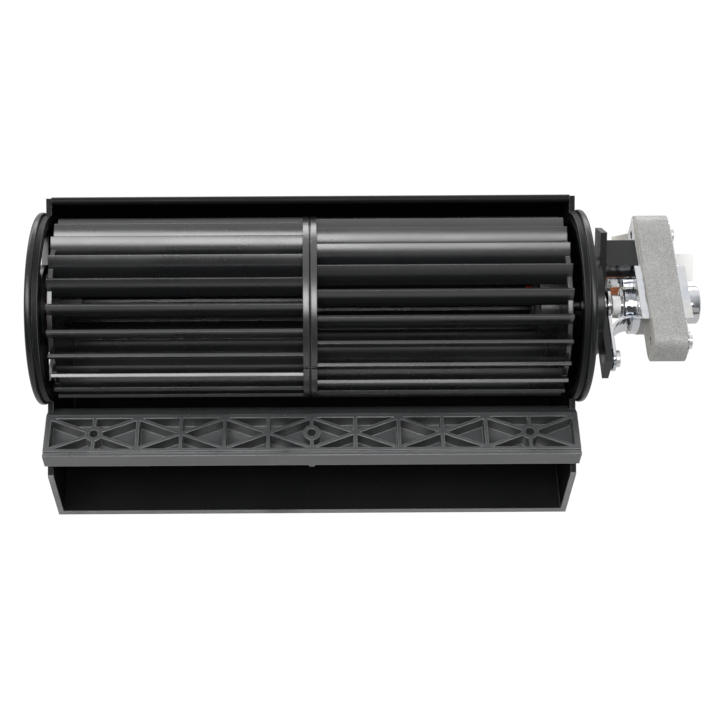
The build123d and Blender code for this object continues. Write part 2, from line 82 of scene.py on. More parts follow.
class Value:
    """A node socket that can stand in a Python expression."""

    def __init__(self, graph: "NodeGraph", socket: bpy.types.NodeSocket) -> None:
        """Wraps one output socket of a graph."""
        self.graph = graph
        self.socket = socket

    def maths(self, operation: str, *others: Number, first: Optional[Number] = None) -> "Value":
        """Adds one Math node.

        Args:
            operation: the Math node's operation.
            others: the values or sockets after this one.
            first: a value that goes before this one, for reflected operators.

        Returns:
            The node's result.
        """
        terms = [self, *others] if first is None else [first, self, *others]
        inputs = {place: term for place, term in enumerate(terms)}
        return self.graph.node("ShaderNodeMath", {"operation": operation}, inputs)

    def __add__(self, other: Number) -> "Value":
        """Sum of two values."""
        return self.maths("ADD", other)

    __radd__ = __add__

    def __sub__(self, other: Number) -> "Value":
        """Difference of two values."""
        return self.maths("SUBTRACT", other)

    def __rsub__(self, other: Number) -> "Value":
        """Difference with this value taken away."""
        return self.maths("SUBTRACT", first=other)

    def __mul__(self, other: Number) -> "Value":
        """Product of two values."""
        return self.maths("MULTIPLY", other)

    __rmul__ = __mul__

    def __truediv__(self, other: Number) -> "Value":
        """Quotient of two values."""
        return self.maths("DIVIDE", other)

    def swing(self, amount: float) -> "Value":
        """How far this value lies from the middle, times an amount."""
        return (self - MIDDLE) * amount

    def ramp(self, low: float, high: float) -> "Value":
        """A smooth rise from 0 at low to 1 at high.

        Args:
            low: where the rise starts.
            high: where it ends; it may be under low, for a fall.

        Returns:
            The rise, held between 0 and 1.
        """
        if high < low:
            return 1 - self.ramp(high, low)
        settings = {"interpolation_type": "SMOOTHSTEP", "clamp": True}
        inputs = {"Value": self, "From Min": low, "From Max": high}
        return self.graph.node("ShaderNodeMapRange", settings, inputs)


class NodeGraph:
    """Adds nodes to one tree, shader or geometry."""

    def __init__(self, tree: bpy.types.NodeTree) -> None:
        """Takes the tree that the nodes go into."""
        self.tree = tree

    def node(
        self,
        kind: str,
        settings: Optional[dict[str, Any]] = None,
        inputs: Optional[dict[Union[str, int], Any]] = None,
        output: Union[str, int] = 0,
    ) -> Value:
        """Adds one node.

        Args:
            kind: the node's type.
            settings: what is set on the node first, such as its operation.
            inputs: values or links of its sockets, by name or place; a list links them all to one socket.
            output: the output socket that is returned.

        Returns:
            The chosen output, ready for expressions.
        """
        made = self.tree.nodes.new(kind)
        for key, setting in (settings or {}).items():
            setattr(made, key, setting)
        for key, value in (inputs or {}).items():
            items = value if isinstance(value, list) else [value]
            for item in items:
                if isinstance(item, Value):
                    self.tree.links.new(item.socket, made.inputs[key])
                else:
                    made.inputs[key].default_value = item
        return Value(self, made.outputs[output])


@dataclass(frozen=True)
class Pattern:
    """The scale and character of a soft noise.

    Args:
        per_metre: features in a metre.
        detail: octaves.
        rough: weight of the finer octaves.
        stretch: scale along each axis; under 1 draws the features out.
    """

    per_metre: float
    detail: float = 2.0
    rough: float = 0.5
    stretch: Triple = (1.0, 1.0, 1.0)


class Shader(NodeGraph):
    """One material's nodes round a Principled surface."""

    def __init__(self, name: str, **constants: Any) -> None:
        """Makes an empty material.

        Args:
            name: the material's name.
            constants: values of the surface's sockets that are the same all over, with _ for spaces.
        """
        self.material = bpy.data.materials.new(name)
        self.material.use_nodes = True
        super().__init__(self.material.node_tree)
        self.tree.nodes.clear()
        self.surface = self.tree.nodes.new("ShaderNodeBsdfPrincipled")
        self.output = self.tree.nodes.new("ShaderNodeOutputMaterial")
        self.tree.links.new(self.surface.outputs[0], self.output.inputs[0])
        for key, value in constants.items():
            self.surface.inputs[key.replace("_", " ")].default_value = value

    def place(self, stretch: Triple = (1.0, 1.0, 1.0)) -> Value:
        """Object coordinates, scaled along each axis."""
        coordinates = self.node("ShaderNodeTexCoord", output="Object")
        return self.node("ShaderNodeMapping", None, {"Vector": coordinates, "Scale": stretch})

    def noise(self, pattern: Pattern) -> Value:
        """Soft noise between about 0.3 and 0.7.

        Args:
            pattern: its scale and character.

        Returns:
            The noise.
        """
        inputs = {
            "Vector": self.place(pattern.stretch),
            "Scale": pattern.per_metre,
            "Detail": pattern.detail,
            "Roughness": pattern.rough,
        }
        return self.node("ShaderNodeTexNoise", None, inputs)

    def cells(self, per_metre: float) -> Value:
        """A random level, from 0 to 1, for each small cell.

        Args:
            per_metre: cells in a metre.

        Returns:
            The level.
        """
        inputs = {"Vector": self.place(), "Scale": per_metre}
        cell = self.node("ShaderNodeTexVoronoi", None, inputs, "Color")
        return self.node("ShaderNodeSeparateColor", None, {0: cell})

    def axis(self, which: int, at: Optional[Value] = None) -> Value:
        """One of the three parts of a vector, which is the place in metres if none is given."""
        return self.node("ShaderNodeSeparateXYZ", None, {0: at or self.place()}, which)

    def rounded(self, radius: float) -> Value:
        """The normal, rounded over the corners to a radius in metres."""
        return self.node("ShaderNodeBevel", {"samples": BEVEL_SAMPLES}, {"Radius": radius})

    def corner(self, rounded: Value) -> Value:
        """Where the surface turns a corner.

        Args:
            rounded: the normal, rounded over the corners.

        Returns:
            A mask that is 1 on corners and 0 on flat faces.
        """
        flat = self.node("ShaderNodeNewGeometry", output="Normal")
        inputs = {0: rounded, 1: flat}
        agree = self.node("ShaderNodeVectorMath", {"operation": "DOT_PRODUCT"}, inputs, "Value")
        return agree.ramp(CORNER_BEGINS, CORNER_FULL)

    def mix(self, amount: Number, below: Any, above: Any) -> Value:
        """Mixes two colours.

        Args:
            amount: 0 for the first, 1 for the second.
            below: the first colour, a tuple or a link.
            above: the second colour, a tuple or a link.

        Returns:
            The mixed colour.
        """
        both = [item if isinstance(item, Value) else (*item, 1.0) for item in (below, above)]
        settings = {"data_type": "RGBA", "clamp_factor": True}
        inputs = {MIX_AMOUNT: amount, MIX_BELOW: both[0], MIX_ABOVE: both[1]}
        return self.node("ShaderNodeMix", settings, inputs, MIX_RESULT)

    def bump(self, height: Value, depth: float, strength: float, over: Optional[Value] = None) -> Value:
        """Relief from a height.

        Args:
            height: the height, from 0 to 1.
            depth: what a height of 1 stands for, in metres.
            strength: how strongly it tells.
            over: a normal that it lies on.

        Returns:
            The bumped normal.
        """
        inputs: dict[Union[str, int], Any] = {"Height": height, "Distance": depth, "Strength": strength}
        if over is not None:
            inputs["Normal"] = over
        return self.node("ShaderNodeBump", None, inputs)

    def feed(self, **links: Value) -> bpy.types.Material:
        """Links varying values to the surface.

        Args:
            links: the socket names, with _ for spaces, and what feeds them.

        Returns:
            The finished material.
        """
        for key, value in links.items():
            self.tree.links.new(value.socket, self.surface.inputs[key.replace("_", " ")])
        return self.material


def lifted(colour: Colour, gain: float, plus: float = 0.0) -> Colour:
    """A brighter form of a colour.

    Args:
        colour: the colour.
        gain: what each channel is multiplied by.
        plus: what is then added to it.

    Returns:
        The colour, with no channel over 1.
    """
    red, green, blue = (min(1.0, channel * gain + plus) for channel in colour)
    return red, green, blue


class Lay(Enum):
    """Which way a metal's fine marks run, by the pattern of the marks."""

    ROUND_AXIS = Pattern(420.0, stretch=(30.0, 1.0, 1.0))
    SANDED = Pattern(3800.0)


@dataclass(frozen=True)
class MouldedPlastic:
    """Injection-moulded plastic: fine grain, faint flow marks, dust, and corners painted paler as a painted
    edge highlight with some rubbed wear.

    Args:
        name: the finish's name.
        colour: the plastic itself.
        corner: the colour that corners and the front rim fade to, a painted highlight with some rubbed wear.
        roughness: the glossiest roughness.
        gloss_gap: how much rougher its dullest places are.
        grain: depth of the spark-eroded grain, in metres.
        dust: how much pale dust lies on it.
        corner_r: how far the corners' change reaches, in metres.
        gleam: how strongly it mirrors, 0.5 being plain plastic.
        rim_wear_and_highlight_y: the Y, in metres, in front of which the whole surface fades in patches to
            the corner colour, a painted highlight with some scuffing.
    """

    PATCHES: ClassVar[Pattern] = Pattern(28.0, 4.0)
    FLOW: ClassVar[Pattern] = Pattern(90.0, 3.0, stretch=(0.12, 1.0, 1.0))
    GRAIN: ClassVar[Pattern] = Pattern(5200.0, 1.0)
    SPECKS: ClassVar[Pattern] = Pattern(900.0, 3.0, 0.7)
    DUST: ClassVar[Colour] = (0.42, 0.40, 0.37)
    DUST_COVER: ClassVar[float] = 0.35
    WEAR_AND_HIGHLIGHT_COVER: ClassVar[float] = 0.75
    RIM_FADE: ClassVar[float] = 0.0003

    name: str
    colour: Colour
    corner: Colour
    roughness: float
    gloss_gap: float
    grain: float
    dust: float = 0.25
    corner_r: float = 0.00035
    gleam: float = 0.3
    rim_wear_and_highlight_y: float = -1.0

    def material(self) -> bpy.types.Material:
        """Builds the material.

        Returns:
            The finished material.
        """
        shader = Shader(self.name, IOR=1.52, Specular_IOR_Level=self.gleam)
        rounded = shader.rounded(self.corner_r)
        patches = shader.noise(self.PATCHES)
        flow = shader.noise(self.FLOW)
        fine = shader.noise(self.GRAIN)
        specks = shader.noise(self.SPECKS).ramp(0.66, 0.74)
        # Painted highlight: corners and the housing's front rim are mixed in patches towards the paler corner
        # colour, standing for edge highlights as well as some rubbed wear.
        rim = shader.axis(1).ramp(self.rim_wear_and_highlight_y + self.RIM_FADE, self.rim_wear_and_highlight_y) * patches.ramp(0.2, 0.45)
        corner_wear_and_highlight = (shader.corner(rounded) * patches.ramp(0.34, 0.58)).maths("MAXIMUM", rim)
        lift = flow.swing(0.6) + fine.swing(0.5) + 0.35
        plain = shader.mix(lift, self.colour, lifted(self.colour, gain=1.4, plus=0.002))
        # worn is the colour with the painted corner and rim highlight on it.
        worn = shader.mix(corner_wear_and_highlight * self.WEAR_AND_HIGHLIGHT_COVER, plain, self.corner)
        colour = shader.mix(specks * self.dust * self.DUST_COVER, worn, self.DUST)
        gloss = patches.ramp(0.3, 0.7) * self.gloss_gap + self.roughness
        roughness = gloss + specks * 0.12 + corner_wear_and_highlight * 0.06
        normal = shader.bump(fine * 0.8 + flow * 0.6, self.grain, strength=0.7, over=rounded)
        return shader.feed(Base_Color=colour, Roughness=roughness, Normal=normal)


@dataclass(frozen=True)
class Elastomer:
    """Moulded rubber or silicone, dull and slightly bloomed.

    Args:
        name: the finish's name.
        colour: its colour.
        bloom: the paler colour of its dusty bloom.
        roughness: its lowest roughness.
    """

    CLOUD: ClassVar[Pattern] = Pattern(160.0, 4.0)
    FINE: ClassVar[Pattern] = Pattern(4200.0)
    CORNER_R: ClassVar[float] = 0.0003
    RELIEF: ClassVar[float] = 0.00001

    name: str
    colour: Colour
    bloom: Colour
    roughness: float

    def material(self) -> bpy.types.Material:
        """Builds the material.

        Returns:
            The finished material.
        """
        shader = Shader(self.name, IOR=1.43)
        rounded = shader.rounded(self.CORNER_R)
        cloud = shader.noise(self.CLOUD)
        fine = shader.noise(self.FINE)
        bloom = cloud.ramp(0.42, 0.72) * 0.45 + shader.corner(rounded) * 0.25 + fine.swing(0.2)
        colour = shader.mix(bloom, self.colour, self.bloom)
        roughness = cloud * 0.2 + self.roughness
        normal = shader.bump(fine, self.RELIEF, strength=0.6, over=rounded)
        return shader.feed(Base_Color=colour, Roughness=roughness, Normal=normal)


@dataclass(frozen=True)
class BareMetal:
    """Metal with fine marks, stains and rubbed corners.

    Args:
        name: the finish's name.
        colour: the clean metal.
        stain: what it dulls to.
        roughness: roughness where it is brightest.
        spread: how much rougher it gets.
        lay: which way its marks run.
        marks: depth of the marks, in metres.
        stained: how much of it is dulled, from 0 to 1.
    """

    CLOUD: ClassVar[Pattern] = Pattern(140.0, 5.0, 0.6)
    GRIT_PER_METRE: ClassVar[float] = 5200.0
    CORNER_R: ClassVar[float] = 0.00025

    name: str
    colour: Colour
    stain: Colour
    roughness: float
    spread: float
    lay: Lay = Lay.SANDED
    marks: float = 0.000006
    stained: float = 0.4

    def material(self) -> bpy.types.Material:
        """Builds the material.

        Returns:
            The finished material.
        """
        shader = Shader(self.name, Metallic=1.0)
        rounded = shader.rounded(self.CORNER_R)
        lines = shader.noise(self.lay.value)
        grit = shader.cells(self.GRIT_PER_METRE)
        dull = shader.noise(self.CLOUD).ramp(0.40, 0.68) * self.stained + grit.swing(0.16)
        dulled = shader.mix(dull, self.colour, self.stain)
        colour = shader.mix(shader.corner(rounded) * 0.6, dulled, lifted(self.colour, gain=1.12))
        roughness = dull * self.spread + lines * 0.12 + self.roughness
        normal = shader.bump(lines, self.marks, strength=0.8, over=rounded)
        return shader.feed(Base_Color=colour, Roughness=roughness, Normal=normal)


@dataclass(frozen=True)
class SheetStack:
    """Punched electrical sheet: pale cut edges, one tone a sheet, with a few rust freckles.

    Args:
        name: the finish's name.
        cut: the cut edge's colour.
        burr: the darker grains of the cut edge.
        face: the rolled face's colour.
        scale: the darker scale on the face.
        freckle: the colour of its rust.
        sheet: thickness of one sheet, in metres.
    """

    FINE: ClassVar[Pattern] = Pattern(2600.0, 3.0, 0.7)
    CLOUD: ClassVar[Pattern] = Pattern(110.0, 4.0)
    RUST: ClassVar[Pattern] = Pattern(520.0, 4.0, 0.7)
    GRIT_PER_METRE: ClassVar[float] = 4600.0
    CORNER_R: ClassVar[float] = 0.0002
    RELIEF: ClassVar[float] = 0.00003

    name: str
    cut: Colour = (0.40, 0.398, 0.392)
    burr: Colour = (0.17, 0.169, 0.166)
    face: Colour = (0.66, 0.645, 0.60)
    scale: Colour = (0.46, 0.44, 0.38)
    freckle: Colour = (0.30, 0.20, 0.13)
    sheet: float = 0.00051

    def material(self) -> bpy.types.Material:
        """Builds the material.

        Returns:
            The finished material.
        """
        shader = Shader(self.name)
        grit = shader.cells(self.GRIT_PER_METRE)
        fine = shader.noise(self.FINE)
        cloud = shader.noise(self.CLOUD)
        tone = self.sheet_tone(shader).swing(0.08) + grit.swing(0.75) + cloud.swing(0.5) + 0.35
        edges = shader.mix(tone, self.cut, self.burr)
        rolled = shader.mix(cloud.ramp(0.35, 0.7) * 0.5 + fine.swing(0.4), self.face, self.scale)
        facing = shader.node("ShaderNodeNewGeometry", output="True Normal")
        flat = shader.axis(0, facing).maths("ABSOLUTE").ramp(0.6, 0.9)
        rust = shader.noise(self.RUST).ramp(0.64, 0.74) * 0.5
        colour = shader.mix(rust, shader.mix(flat, edges, rolled), self.freckle)
        metallic = 0.45 - rust * 0.4
        roughness = 0.56 + grit.swing(0.2) + rust * 0.3 + flat * 0.06
        rounded = shader.rounded(self.CORNER_R)
        normal = shader.bump(grit * 0.5 + fine * 0.6, self.RELIEF, strength=0.8, over=rounded)
        return shader.feed(Base_Color=colour, Metallic=metallic, Roughness=roughness, Normal=normal)

    def sheet_tone(self, shader: Shader) -> Value:
        """A random tone for each sheet.

        Args:
            shader: the material's nodes.

        Returns:
            The tone, from 0 to 1.
        """
        number = (shader.axis(0) / self.sheet).maths("FLOOR")
        return shader.node("ShaderNodeTexWhiteNoise", {"noise_dimensions": "1D"}, {"W": number}, "Value")


@dataclass(frozen=True)
class BrightPlate:
    """Bright zinc plate over drawn sheet: a mirror with soft waves, faint tints and small scuffs.

    Args:
        name: the finish's name.
        colour: the plate's colour.
        cool: its blue tint.
        warm: its straw tint.
        scuffed: its colour where it is scuffed.
    """

    TINT: ClassVar[Pattern] = Pattern(120.0)
    WAVES: ClassVar[Pattern] = Pattern(190.0)
    SCUFFS: ClassVar[Pattern] = Pattern(1500.0, 4.0, 0.7, (1.0, 0.2, 1.0))
    CORNER_R: ClassVar[float] = 0.0003
    RELIEF: ClassVar[float] = 0.0006

    name: str
    colour: Colour = (0.62, 0.63, 0.65)
    cool: Colour = (0.52, 0.56, 0.61)
    warm: Colour = (0.64, 0.61, 0.53)
    scuffed: Colour = (0.52, 0.52, 0.51)

    def material(self) -> bpy.types.Material:
        """Builds the material.

        Returns:
            The finished material.
        """
        shader = Shader(self.name, Metallic=1.0)
        rounded = shader.rounded(self.CORNER_R)
        tint = shader.noise(self.TINT)
        waves = shader.noise(self.WAVES)
        scuffs = shader.noise(self.SCUFFS).ramp(0.60, 0.75)
        cool = shader.mix(tint.ramp(0.5, 0.3) * 0.7, self.colour, self.cool)
        clean = shader.mix(tint.ramp(0.54, 0.72) * 0.6, cool, self.warm)
        colour = shader.mix(scuffs * 0.35 + shader.corner(rounded) * 0.15, clean, self.scuffed)
        roughness = 0.07 + scuffs * 0.25 + waves.ramp(0.4, 0.7) * 0.09
        normal = shader.bump(waves, self.RELIEF, strength=0.8, over=rounded)
        return shader.feed(Base_Color=colour, Roughness=roughness, Normal=normal)


@dataclass(frozen=True)
class EnamelledWire:
    """Varnished copper wire with darker hollows and glossy varnish.

    Args:
        name: the finish's name.
        colour: the copper's colour.
        dark: the varnish where it pools.
    """

    CLOUD: ClassVar[Pattern] = Pattern(210.0, 4.0)
    FINE: ClassVar[Pattern] = Pattern(2400.0)
    CORNER_R: ClassVar[float] = 0.0002
    RELIEF: ClassVar[float] = 0.00001

    name: str
    colour: Colour = (0.82, 0.34, 0.17)
    dark: Colour = (0.38, 0.11, 0.05)

    def material(self) -> bpy.types.Material:
        """Builds the material.

        Returns:
            The finished material.
        """
        shader = Shader(self.name, Metallic=0.9, Coat_Roughness=0.18)
        cloud = shader.noise(self.CLOUD)
        fine = shader.noise(self.FINE)
        colour = shader.mix(cloud.ramp(0.4, 0.68) * 0.6 + fine.swing(0.3), self.colour, self.dark)
        roughness = cloud * 0.25 + 0.2
        coat = 0.5 - cloud.ramp(0.45, 0.7) * 0.3
        rounded = shader.rounded(self.CORNER_R)
        normal = shader.bump(fine, self.RELIEF, strength=0.5, over=rounded)
        return shader.feed(Base_Color=colour, Roughness=roughness, Coat_Weight=coat, Normal=normal)


@dataclass(frozen=True)
class OiledFelt:
    """Brown felt, dark with oil, with loose fibres.

    Args:
        name: the finish's name.
        deep: its colour between the fibres.
        fibre: the fibres' colour.
        oil: its colour where it is soaked.
    """

    SOAKED: ClassVar[Pattern] = Pattern(260.0, 3.0)
    FIBRES: ClassVar[Pattern] = Pattern(2600.0, 5.0, 0.75)
    RELIEF: ClassVar[float] = 0.00012

    name: str
    deep: Colour = (0.17, 0.10, 0.055)
    fibre: Colour = (0.46, 0.33, 0.21)
    oil: Colour = (0.10, 0.06, 0.035)

    def material(self) -> bpy.types.Material:
        """Builds the material.

        Returns:
            The finished material.
        """
        shader = Shader(self.name, Specular_IOR_Level=0.3)
        soaked = shader.noise(self.SOAKED).ramp(0.45, 0.7)
        fibres = shader.noise(self.FIBRES)
        dry = shader.mix(fibres.ramp(0.3, 0.7), self.deep, self.fibre)
        colour = shader.mix(soaked * 0.6, dry, self.oil)
        roughness = 0.9 - soaked * 0.3
        normal = shader.bump(fibres, self.RELIEF, strength=0.9)
        return shader.feed(Base_Color=colour, Roughness=roughness, Normal=normal)


Finish = Union[MouldedPlastic, Elastomer, BareMetal, SheetStack, BrightPlate, EnamelledWire, OiledFelt]

# The front rim of the housing is painted paler this far back from its edge, a painted highlight with some
# scuffing.
RIM_DEPTH = 0.0003
HOUSING_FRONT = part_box("scroll_housing")[0][1]

# Each plastic's corner colour is a painted highlight on its edges with some rubbed wear; the rail's and the
# housing's are far paler than the plastic itself.
WHEEL_BLACK = MouldedPlastic(
    "wheel_black",
    colour=(0.008, 0.0085, 0.0093),
    corner=(0.07, 0.072, 0.075),
    roughness=0.24,
    gloss_gap=0.10,
    grain=0.000005,
    gleam=1.0,
)
HOUSING_BLACK = MouldedPlastic(
    "housing_black",
    colour=(0.0045, 0.0048, 0.0053),
    corner=(0.26, 0.262, 0.265),
    roughness=0.42,
    gloss_gap=0.14,
    grain=0.000018,
    gleam=0.14,
    rim_wear_and_highlight_y=HOUSING_FRONT + RIM_DEPTH,
)
RAIL_BLACK = MouldedPlastic(
    "rail_black",
    colour=(0.044, 0.046, 0.0475),
    corner=(0.38, 0.383, 0.387),
    roughness=0.24,
    gloss_gap=0.16,
    grain=0.000012,
    corner_r=0.0005,
    gleam=0.9,
)
PLATE_BLACK = MouldedPlastic(
    "plate_black",
    colour=(0.0045, 0.005, 0.0055),
    corner=(0.13, 0.133, 0.138),
    roughness=0.24,
    gloss_gap=0.12,
    grain=0.000008,
    gleam=0.4,
)
WHITE_NYLON = MouldedPlastic(
    "white_nylon_moulding",
    colour=(0.80, 0.795, 0.775),
    corner=(0.86, 0.855, 0.835),
    roughness=0.36,
    gloss_gap=0.12,
    grain=0.00001,
    dust=0.03,
    gleam=0.5,
)
RED_PLASTIC = MouldedPlastic(
    "red_clip_plastic",
    colour=(0.62, 0.045, 0.03),
    corner=(0.72, 0.16, 0.12),
    roughness=0.36,
    gloss_gap=0.1,
    grain=0.00001,
    dust=0.05,
)
DARK_RED = Elastomer(
    "red_silicone",
    colour=(0.30, 0.022, 0.016),
    bloom=(0.42, 0.10, 0.08),
    roughness=0.46,
)
BLACK_RUBBER = Elastomer(
    "drive_rubber",
    colour=(0.020, 0.020, 0.021),
    bloom=(0.075, 0.073, 0.07),
    roughness=0.62,
)
BRONZE = BareMetal(
    "sintered_bronze",
    colour=(0.60, 0.43, 0.23),
    stain=(0.26, 0.17, 0.09),
    roughness=0.40,
    spread=0.2,
    marks=0.00002,
    stained=0.7,
)
GROUND_STEEL = BareMetal(
    "ground_steel",
    colour=(0.78, 0.78, 0.78),
    stain=(0.50, 0.49, 0.48),
    roughness=0.14,
    spread=0.18,
    lay=Lay.ROUND_AXIS,
)
SCREW_STEEL = BareMetal(
    "screw_zinc",
    colour=(0.74, 0.75, 0.76),
    stain=(0.48, 0.46, 0.40),
    roughness=0.24,
    spread=0.2,
)
TIN = BareMetal(
    "tin_plate_sheet",
    colour=(0.76, 0.76, 0.74),
    stain=(0.50, 0.49, 0.46),
    roughness=0.26,
    spread=0.2,
)
CAST_RING = BareMetal(
    "cast_ring_aluminium",
    colour=(0.74, 0.75, 0.76),
    stain=(0.48, 0.48, 0.48),
    roughness=0.42,
    spread=0.15,
    marks=0.00003,
)
SHEETS = SheetStack("electrical_sheet")
ZINC = BrightPlate("bright_zinc")
COPPER = EnamelledWire("varnished_copper")
FELT = OiledFelt("oiled_felt")

# What each node wears.
WEARS: dict[str, Finish] = {
    "left_impeller": WHEEL_BLACK,
    "right_impeller": WHEEL_BLACK,
    "scroll_housing": HOUSING_BLACK,
    "stabiliser_rail": RAIL_BLACK,
    "left_end_plate": PLATE_BLACK,
    "right_end_plate": PLATE_BLACK,
    "left_bearing_mount": DARK_RED,
    "left_bearing": BRONZE,
    "inner_bearing": BRONZE,
    "outer_bearing": BRONZE,
    "stub_shaft": GROUND_STEEL,
    "motor_shaft": GROUND_STEEL,
    "thrust_washers": GROUND_STEEL,
    "stator_core": SHEETS,
    "coil_core": SHEETS,
    "rotor_core": SHEETS,
    "coil_bobbin": WHITE_NYLON,
    "shaft_collar": WHITE_NYLON,
    "coil_winding": COPPER,
    "shading_rings": COPPER,
    "terminals": TIN,
    "rotor_rings": CAST_RING,
    "rubber_hub": BLACK_RUBBER,
    "oil_felts": FELT,
    "inner_bearing_plate": ZINC,
    "outer_bearing_plate": ZINC,
    "motor_bracket": ZINC,
    "motor_screws": SCREW_STEEL,
    "bracket_screws": SCREW_STEEL,
    "balance_clip": RED_PLASTIC,
}


class FinishRack:
    """Makes each finish's material once and hands it out."""

    def __init__(self) -> None:
        """Starts empty."""
        self._made: dict[str, bpy.types.Material] = {}

    def get(self, finish: Finish) -> bpy.types.Material:
        """The material of a finish, made the first time that it is asked for.

        Args:
            finish: the finish.

        Returns:
            Its material.
        """
        if finish.name not in self._made:
            self._made[finish.name] = finish.material()
        return self._made[finish.name]

    def dress(self, node: str, finish: Finish) -> None:
        """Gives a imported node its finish.

        Args:
            node: the node's name.
            finish: what it wears.
        """
        piece = frame["nodes"][node]
        if not piece.material_slots:
            piece.data.materials.append(self.get(finish))
        for place in piece.material_slots:
            place.material = self.get(finish)
        log.info("%s wears %s", node, finish.name)


def centre_of(node: str) -> Vector:
    """The middle of a node's box."""
    low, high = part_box(node)
    return (Vector(low) + Vector(high)) / 2


def span_of(node: str) -> Vector:
    """The three side lengths of a node's box."""
    low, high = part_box(node)
    return Vector(high) - Vector(low)


def new_piece(name: str, mesh: bpy.types.Mesh, body: str, stands_for: str) -> bpy.types.Object:
    """Puts a finished mesh in the scene in the place of a node.

    Args:
        name: the piece's name.
        mesh: its mesh, already in place.
        body: the body that it moves with.
        stands_for: the node that it replaces, which is hidden.

    Returns:
        The piece.
    """
    piece = bpy.data.objects.new(name, mesh)
    bpy.context.scene.collection.objects.link(piece)
    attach(piece, body)
    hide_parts(stands_for)
    log.info("%s made with %d faces", name, len(mesh.polygons))
    return piece


class GeometryGraph(NodeGraph):
    """A Geometry Nodes tree with named inputs."""

    def __init__(self, name: str, sizes: dict[str, tuple[str, Any]]) -> None:
        """Makes the tree and its inputs.

        Args:
            name: the tree's name.
            sizes: for each input, its socket type and its value.
        """
        super().__init__(bpy.data.node_groups.new(name, "GeometryNodeTree"))
        face = self.tree.interface
        face.new_socket("Geometry", in_out="INPUT", socket_type="NodeSocketGeometry")
        face.new_socket("Geometry", in_out="OUTPUT", socket_type="NodeSocketGeometry")
        self.values: dict[str, Any] = {}
        for label, (kind, value) in sizes.items():
            self.values[face.new_socket(label, in_out="INPUT", socket_type=kind).identifier] = value
        self.group = self.tree.nodes.new("NodeGroupInput")

    def given(self, label: str) -> Value:
        """One of the tree's named inputs."""
        return Value(self, self.group.outputs[label])

    def end(self, geometry: Value, material: bpy.types.Material) -> None:
        """Closes the tree with real geometry and a material.

        Args:
            geometry: what the tree made.
            material: what it wears.
        """
        real = self.node("GeometryNodeRealizeInstances", None, {0: geometry})
        worn = self.node("GeometryNodeSetMaterial", None, {"Geometry": real, "Material": material})
        output = self.tree.nodes.new("NodeGroupOutput")
        self.tree.links.new(worn.socket, output.inputs[0])

    def run(self, start: bpy.types.Mesh, name: str) -> bpy.types.Mesh:
        """Runs the tree on a mesh.

        Args:
            start: the mesh that it starts from.
            name: name of the result.

        Returns:
            The result as a plain mesh.
        """
        holder = bpy.data.objects.new(name + "_holder", start)
        bpy.context.scene.collection.objects.link(holder)
        modifier = holder.modifiers.new("shape", "NODES")
        modifier.node_group = self.tree
        for identifier, value in self.values.items():
            modifier[identifier] = value
        shaped = holder.evaluated_get(bpy.context.evaluated_depsgraph_get())
        mesh = bpy.data.meshes.new_from_object(shaped)
        mesh.name = name
        holder.modifiers.clear()
        bpy.data.objects.remove(holder)
        return mesh


